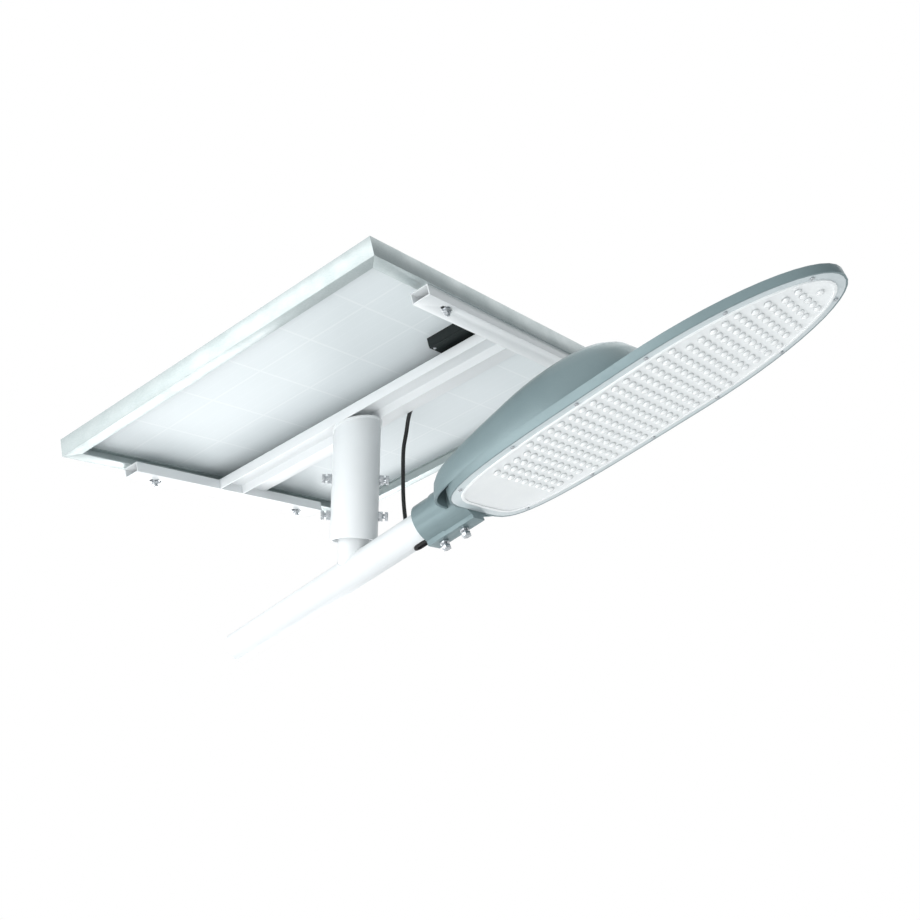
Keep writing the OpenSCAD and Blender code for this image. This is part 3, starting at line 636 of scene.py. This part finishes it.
softened("arm_tube", "pole_arm", white_coat, "arm", 0.0005)
softened("stub", "upright_stub", white_coat, "arm", 0.0005)
softened("sleeve", "turning_sleeve", white_coat, "panel_unit", 0.0007)
softened("sleeve_cap", "sleeve_top_plate", white_coat, "panel_unit", 0.0006)
softened("beam_channel", "centre_channel", white_coat, "panel_unit", 0.0009)
softened("beam_strip", "side_strip", white_coat, "panel_unit", 0.0006)
softened("rail_left", "lower_rail", white_coat, "panel_unit", 0.0012, 3)
softened("rail_right", "upper_rail", white_coat, "panel_unit", 0.0012, 3)
for bar in ("frame_near", "frame_far", "frame_left", "frame_right"):
    softened(bar, bar + "_bar", frame_metal, "panel_unit", 0.0005)
softened("jbox_body", "junction_box", black_plastic, "panel_unit", 0.0012, 3)
softened("jbox_lid", "junction_box_lid", black_plastic, "panel_unit", 0.0010, 3)
softened("jbox_gland", "cable_gland", black_plastic, "panel_unit", 0.0005)
softened("set_nuts", "sleeve_nuts", steel, "panel_unit", 0.0006)
softened("rail_nuts", "bolt_nuts", steel, "panel_unit", 0.0005)
softened("rail_washers", "bolt_washers", steel, "panel_unit", 0.0003)
softened("set_screws", "sleeve_screws", steel, "panel_unit", 0.0006)
softened("rail_bolts", "rail_screws", steel, "panel_unit", 0.0005)
softened("clamp_bolts", "socket_screws", steel, "lamp_head", 0.0006)
softened("clamp_nuts", "socket_nuts", steel, "lamp_head", 0.0005)
softened("lens_screws", "rim_screws", steel, "lamp_head", 0.0006)
softened("cover_screws", "top_screws", steel, "lamp_head", 0.0006)
softened("head_base", "head_casting", cast_coat, "lamp_head", 0.0018, 4, 40.0)
softened("head_cover", "head_hood", cast_coat, "lamp_head", 0.0012, 3, 40.0, 0.1)
lens_sheet = softened("lens_plate", "lens_sheet_panel", lens_finish, "lamp_head", 0.0008, 3, 40.0)

# ---------------------------------------------------------------- lens domes and chips

FIELD_START = 0.112
FIELD_END = 0.697
DOME_RADIUS = 0.0063
DOME_PLACE = -0.0317
RIM_WIDTH = 0.0176
BEAD_END = 0.0232


def rim_half_width(x, inset):
    """Half the head's width at a distance from its socket end, drawn in by an inset."""
    length, widest, half = 0.722, 0.410, 0.142
    if x < widest:
        share = (widest - x) / (widest - inset)
        return (half - inset) * (1 - min(share, 1.0) ** 4) ** 0.2
    share = (x - widest) / (length - widest - inset)
    return (half - inset) * math.sqrt(max(1 - share * share, 0.0))


def inset_at(x, y):
    """How far a place on the head's underside lies in from its outline."""
    low, high = 0.0, 0.060
    for _ in range(14):
        middle = (low + high) / 2
        inside = middle < x < 0.722 - middle and abs(y) < rim_half_width(x, middle)
        low, high = (middle, high) if inside else (low, middle)
    return low


# the sheet's flat border is clear over the grey casting, and its raised bead is milky white
lens_sheet.data.materials.append(rim_finish)
lens_sheet.data.materials.append(bead_finish)
from_head = HEAD_TURN.inverted()
inset = [inset_at(*(from_head @ v.co).xy) for v in lens_sheet.data.vertices]
for face in lens_sheet.data.polygons:
    middle = sum(inset[i] for i in face.vertices) / len(face.vertices)
    face.material_index = 1 if middle < RIM_WIDTH else 2 if middle < BEAD_END else 0


def lens_places():
    """Square grid of lens places that fit inside the bead, from the clear window to the tip."""
    places = []
    for column in range(29):
        x = FIELD_START + column * LENS_PITCH
        for row in range(-5, 6):
            y = row * LENS_PITCH
            if x < FIELD_END and abs(y) < rim_half_width(x + 0.004, 0.034):
                places.append((x, y))
    return places


def domes():
    bpy.ops.object.select_all(action="DESELECT")
    bpy.ops.mesh.primitive_uv_sphere_add(segments=16, ring_count=10, radius=DOME_RADIUS)
    dome = bpy.context.object
    bpy.ops.object.mode_set(mode="EDIT")
    bpy.ops.mesh.select_all(action="SELECT")
    bpy.ops.mesh.bisect(plane_co=(0, 0, 0.0012), plane_no=(0, 0, 1), clear_outer=True, use_fill=False)
    bpy.ops.mesh.select_all(action="SELECT")
    bpy.ops.transform.resize(value=(1.0, 1.0, 0.60))
    bpy.ops.object.mode_set(mode="OBJECT")
    bpy.ops.object.shade_smooth()
    return dome


def copies(pattern, places, height):
    """One mesh holding a copy of the pattern at each place on the head's underside."""
    mesh = bmesh.new()
    for x, y in places:
        part = pattern.data.copy()
        part.transform(HEAD_TURN @ Matrix.Translation((x, y, height)))
        mesh.from_mesh(part)
        bpy.data.meshes.remove(part)
    data = bpy.data.meshes.new("copies")
    mesh.to_mesh(data)
    mesh.free()
    obj = bpy.data.objects.new("copies", data)
    scene.collection.objects.link(obj)
    bpy.data.objects.remove(pattern)
    return obj


places = lens_places()
dome_set = copies(domes(), places, DOME_PLACE)
finish_piece(dome_set, "lens_domes", dome_finish, "lamp_head")


def chip():
    deselect()
    bpy.ops.mesh.primitive_cube_add(size=1.0)
    one = bpy.context.object
    one.scale = (0.0050, 0.0050, 0.0010)
    bpy.ops.object.transform_apply(scale=True)
    bpy.ops.object.mode_set(mode="EDIT")
    bpy.ops.mesh.select_all(action="DESELECT")
    bpy.ops.object.mode_set(mode="OBJECT")
    for face in one.data.polygons:
        face.select = face.normal.z < -0.5
    bpy.ops.object.mode_set(mode="EDIT")
    bpy.ops.mesh.inset(thickness=0.0007, depth=-0.0003)
    bpy.ops.object.mode_set(mode="OBJECT")
    return one


roof = -0.031 + 0.016 - 0.004 - 0.0016
chip_set = copies(chip(), places, roof - 0.0005)
finish_piece(chip_set, "led_chips", chip_finish, "lamp_head")

# ---------------------------------------------------------------- weld beads


def weld(name, line, radius, body):
    """A rippled weld bead along a closed line."""
    mesh = bmesh.new()
    sides, rings = 8, []
    count = len(line)
    for i, point in enumerate(line):
        heading = (line[(i + 1) % count] - line[i - 1]).normalized()
        if rings:
            side = (side - heading * side.dot(heading)).normalized()
        else:
            side = heading.orthogonal().normalized()
        other = heading.cross(side)
        size = radius * (1.0 + 0.16 * math.sin(i * 2 * math.pi / 4))
        rings.append([mesh.verts.new(point + size * (math.cos(t) * side + math.sin(t) * other))
                      for t in (2 * math.pi * k / sides for k in range(sides))])
    shift = min(range(sides), key=lambda k: (rings[-1][k].co - rings[0][0].co).length)
    for i in range(count):
        here, there = rings[i], rings[(i + 1) % count]
        for k in range(sides):
            j = (k + 1) % sides
            if i == count - 1:
                mesh.faces.new((here[(k + shift) % sides], here[(j + shift) % sides], there[j], there[k]))
            else:
                mesh.faces.new((here[k], here[j], there[j], there[k]))
    bmesh.ops.recalc_face_normals(mesh, faces=mesh.faces)
    data = bpy.data.meshes.new(name)
    mesh.to_mesh(data)
    mesh.free()
    data.polygons.foreach_set("use_smooth", [True] * len(data.polygons))
    obj = bpy.data.objects.new(name, data)
    scene.collection.objects.link(obj)
    return finish_piece(obj, name, white_coat, body)


def saddle_line():
    """Where the upright stub meets the arm tube."""
    line = []
    for k in range(160):
        t = 2 * math.pi * k / 160
        x, y = 0.0285 * math.cos(t), 0.0285 * math.sin(t)
        reach = math.sqrt(max(0.030 ** 2 - y * y, 0.0))
        z = (reach + x * math.sin(TILT)) / math.cos(TILT)
        line.append(STUB + Vector((x, y, z)))
    return line


def collar_line():
    """Where the sleeve's sloping top meets the top plate."""
    line = []
    for k in range(200):
        t = 2 * math.pi * k / 200
        x, y = 0.045 * math.cos(t), 0.045 * math.sin(t)
        z = x * math.tan(SLOPE) - 0.023 / math.cos(SLOPE)
        line.append(PANEL + Vector((x, y, z)))
    return line


weld("stub_weld", saddle_line(), 0.0019, "arm")
weld("sleeve_weld", collar_line(), 0.0015, "panel_unit")

# ---------------------------------------------------------------- finishes of the carried-over solids

for node, material in {
    "stub_cap": white_coat, "sleeve_stop": white_coat, "cable_grommet": rubber, "entry_grommet": rubber,
    "cable_coupler": black_plastic,
    "corner_keys": mill_metal, "glass": glass_finish, "cell_sheet": cells_finish, "back_sheet": film_finish,
    "jbox_screws": steel, "lens_gasket": rubber, "led_board": board_finish, "battery_tray": mill_metal,
    "battery_cells": battery_wrap, "battery_strap": rubber, "controller": case_coat, "lamp_lead": sheath,
}.items():
    nodes[node].data.materials.clear()
    nodes[node].data.materials.append(material)

# ---------------------------------------------------------------- floor and light

deselect()
bpy.ops.mesh.primitive_circle_add(vertices=96, radius=3.5, fill_type="NGON", location=(0.5, 0.2, -1.1))
floor = bpy.context.object
floor.name = "floor"
floor_finish, floor_tree, floor_shader, floor_coord = textured("pale_floor", roughness=0.7)
floor_noise = add(floor_tree, "ShaderNodeTexNoise", in_Scale=3.0)
floor_mix = add(floor_tree, "ShaderNodeMix", data_type="RGBA")
floor_mix.inputs[6].default_value = rgb(0.86, 0.86, 0.86)
floor_mix.inputs[7].default_value = rgb(0.90, 0.90, 0.90)
floor_tree.links.new(floor_coord.outputs["Object"], floor_noise.inputs["Vector"])
floor_tree.links.new(floor_noise.outputs["Fac"], floor_mix.inputs[0])
floor_tree.links.new(floor_mix.outputs[2], floor_shader.inputs["Base Color"])
# the floor fades out towards its edge, so that no hard line shows behind the lamp
floor_far = add(floor_tree, "ShaderNodeVectorMath", operation="LENGTH")
floor_fade = add(floor_tree, "ShaderNodeMapRange", in_1=1.6, in_2=3.4, in_3=1.0, in_4=0.0)
floor_fade.interpolation_type = "SMOOTHSTEP"
floor_tree.links.new(floor_coord.outputs["Object"], floor_far.inputs[0])
floor_tree.links.new(floor_far.outputs["Value"], floor_fade.inputs[0])
floor_tree.links.new(floor_fade.outputs[0], floor_shader.inputs["Alpha"])
floor.data.materials.append(floor_finish)

world = bpy.data.worlds.new("studio")
scene.world = world
world.use_nodes = True
tree = world.node_tree
tree.nodes.clear()
# the studio is darker behind and beyond the lamp than in front of it
around = add(tree, "ShaderNodeTexCoord")
side = add(tree, "ShaderNodeVectorMath", operation="DOT_PRODUCT", in_1=(0.85, 0.42, 0.32))
tree.links.new(around.outputs["Generated"], side.inputs[0])
shade = add(tree, "ShaderNodeMapRange", in_1=0.35, in_2=0.95, in_3=0.0, in_4=1.0)
tree.links.new(side.outputs["Value"], shade.inputs[0])
tone = add(tree, "ShaderNodeMix", data_type="RGBA")
tone.inputs[6].default_value = rgb(0.95, 0.985, 1.0)
tone.inputs[7].default_value = rgb(0.20, 0.22, 0.23)
tree.links.new(shade.outputs[0], tone.inputs[0])
seen = add(tree, "ShaderNodeBackground", in_Color=rgb(1, 1, 1), in_Strength=1.0)
lit = add(tree, "ShaderNodeBackground", in_Strength=0.86)
tree.links.new(tone.outputs[2], lit.inputs["Color"])
ray = add(tree, "ShaderNodeLightPath")
choose = add(tree, "ShaderNodeMixShader")
out = add(tree, "ShaderNodeOutputWorld")
tree.links.new(ray.outputs["Is Camera Ray"], choose.inputs[0])
tree.links.new(lit.outputs[0], choose.inputs[1])
tree.links.new(seen.outputs[0], choose.inputs[2])
tree.links.new(choose.outputs[0], out.inputs["Surface"])
scene.view_settings.view_transform = "Standard"


def soft_light(name, place, aim, size, power, colour=(1.0, 1.0, 1.0)):
    data = bpy.data.lights.new(name, "AREA")
    data.shape = "RECTANGLE"
    data.size, data.size_y = size
    data.energy = power
    data.color = colour
    obj = bpy.data.objects.new(name, data)
    scene.collection.objects.link(obj)
    obj.visible_camera = False
    direction = Vector(aim) - Vector(place)
    obj.matrix_world = Matrix.Translation(place) @ direction.to_track_quat("-Z", "Y").to_matrix().to_4x4()
    return obj


soft_light("key", (-1.2, -2.6, 1.2), (0.4, 0.0, 0.3), (2.2, 2.2), 34.0)
soft_light("under", (0.6, -2.2, -0.95), (0.7, 0.0, 0.4), (2.6, 1.0), 38.0)
soft_light("under_left", (-0.9, 1.1, -0.95), (0.15, -0.1, 0.53), (1.2, 1.2), 22.0)
soft_light("top", (0.5, 1.8, 2.6), (0.5, 0.0, 0.4), (2.4, 2.4), 22.0)
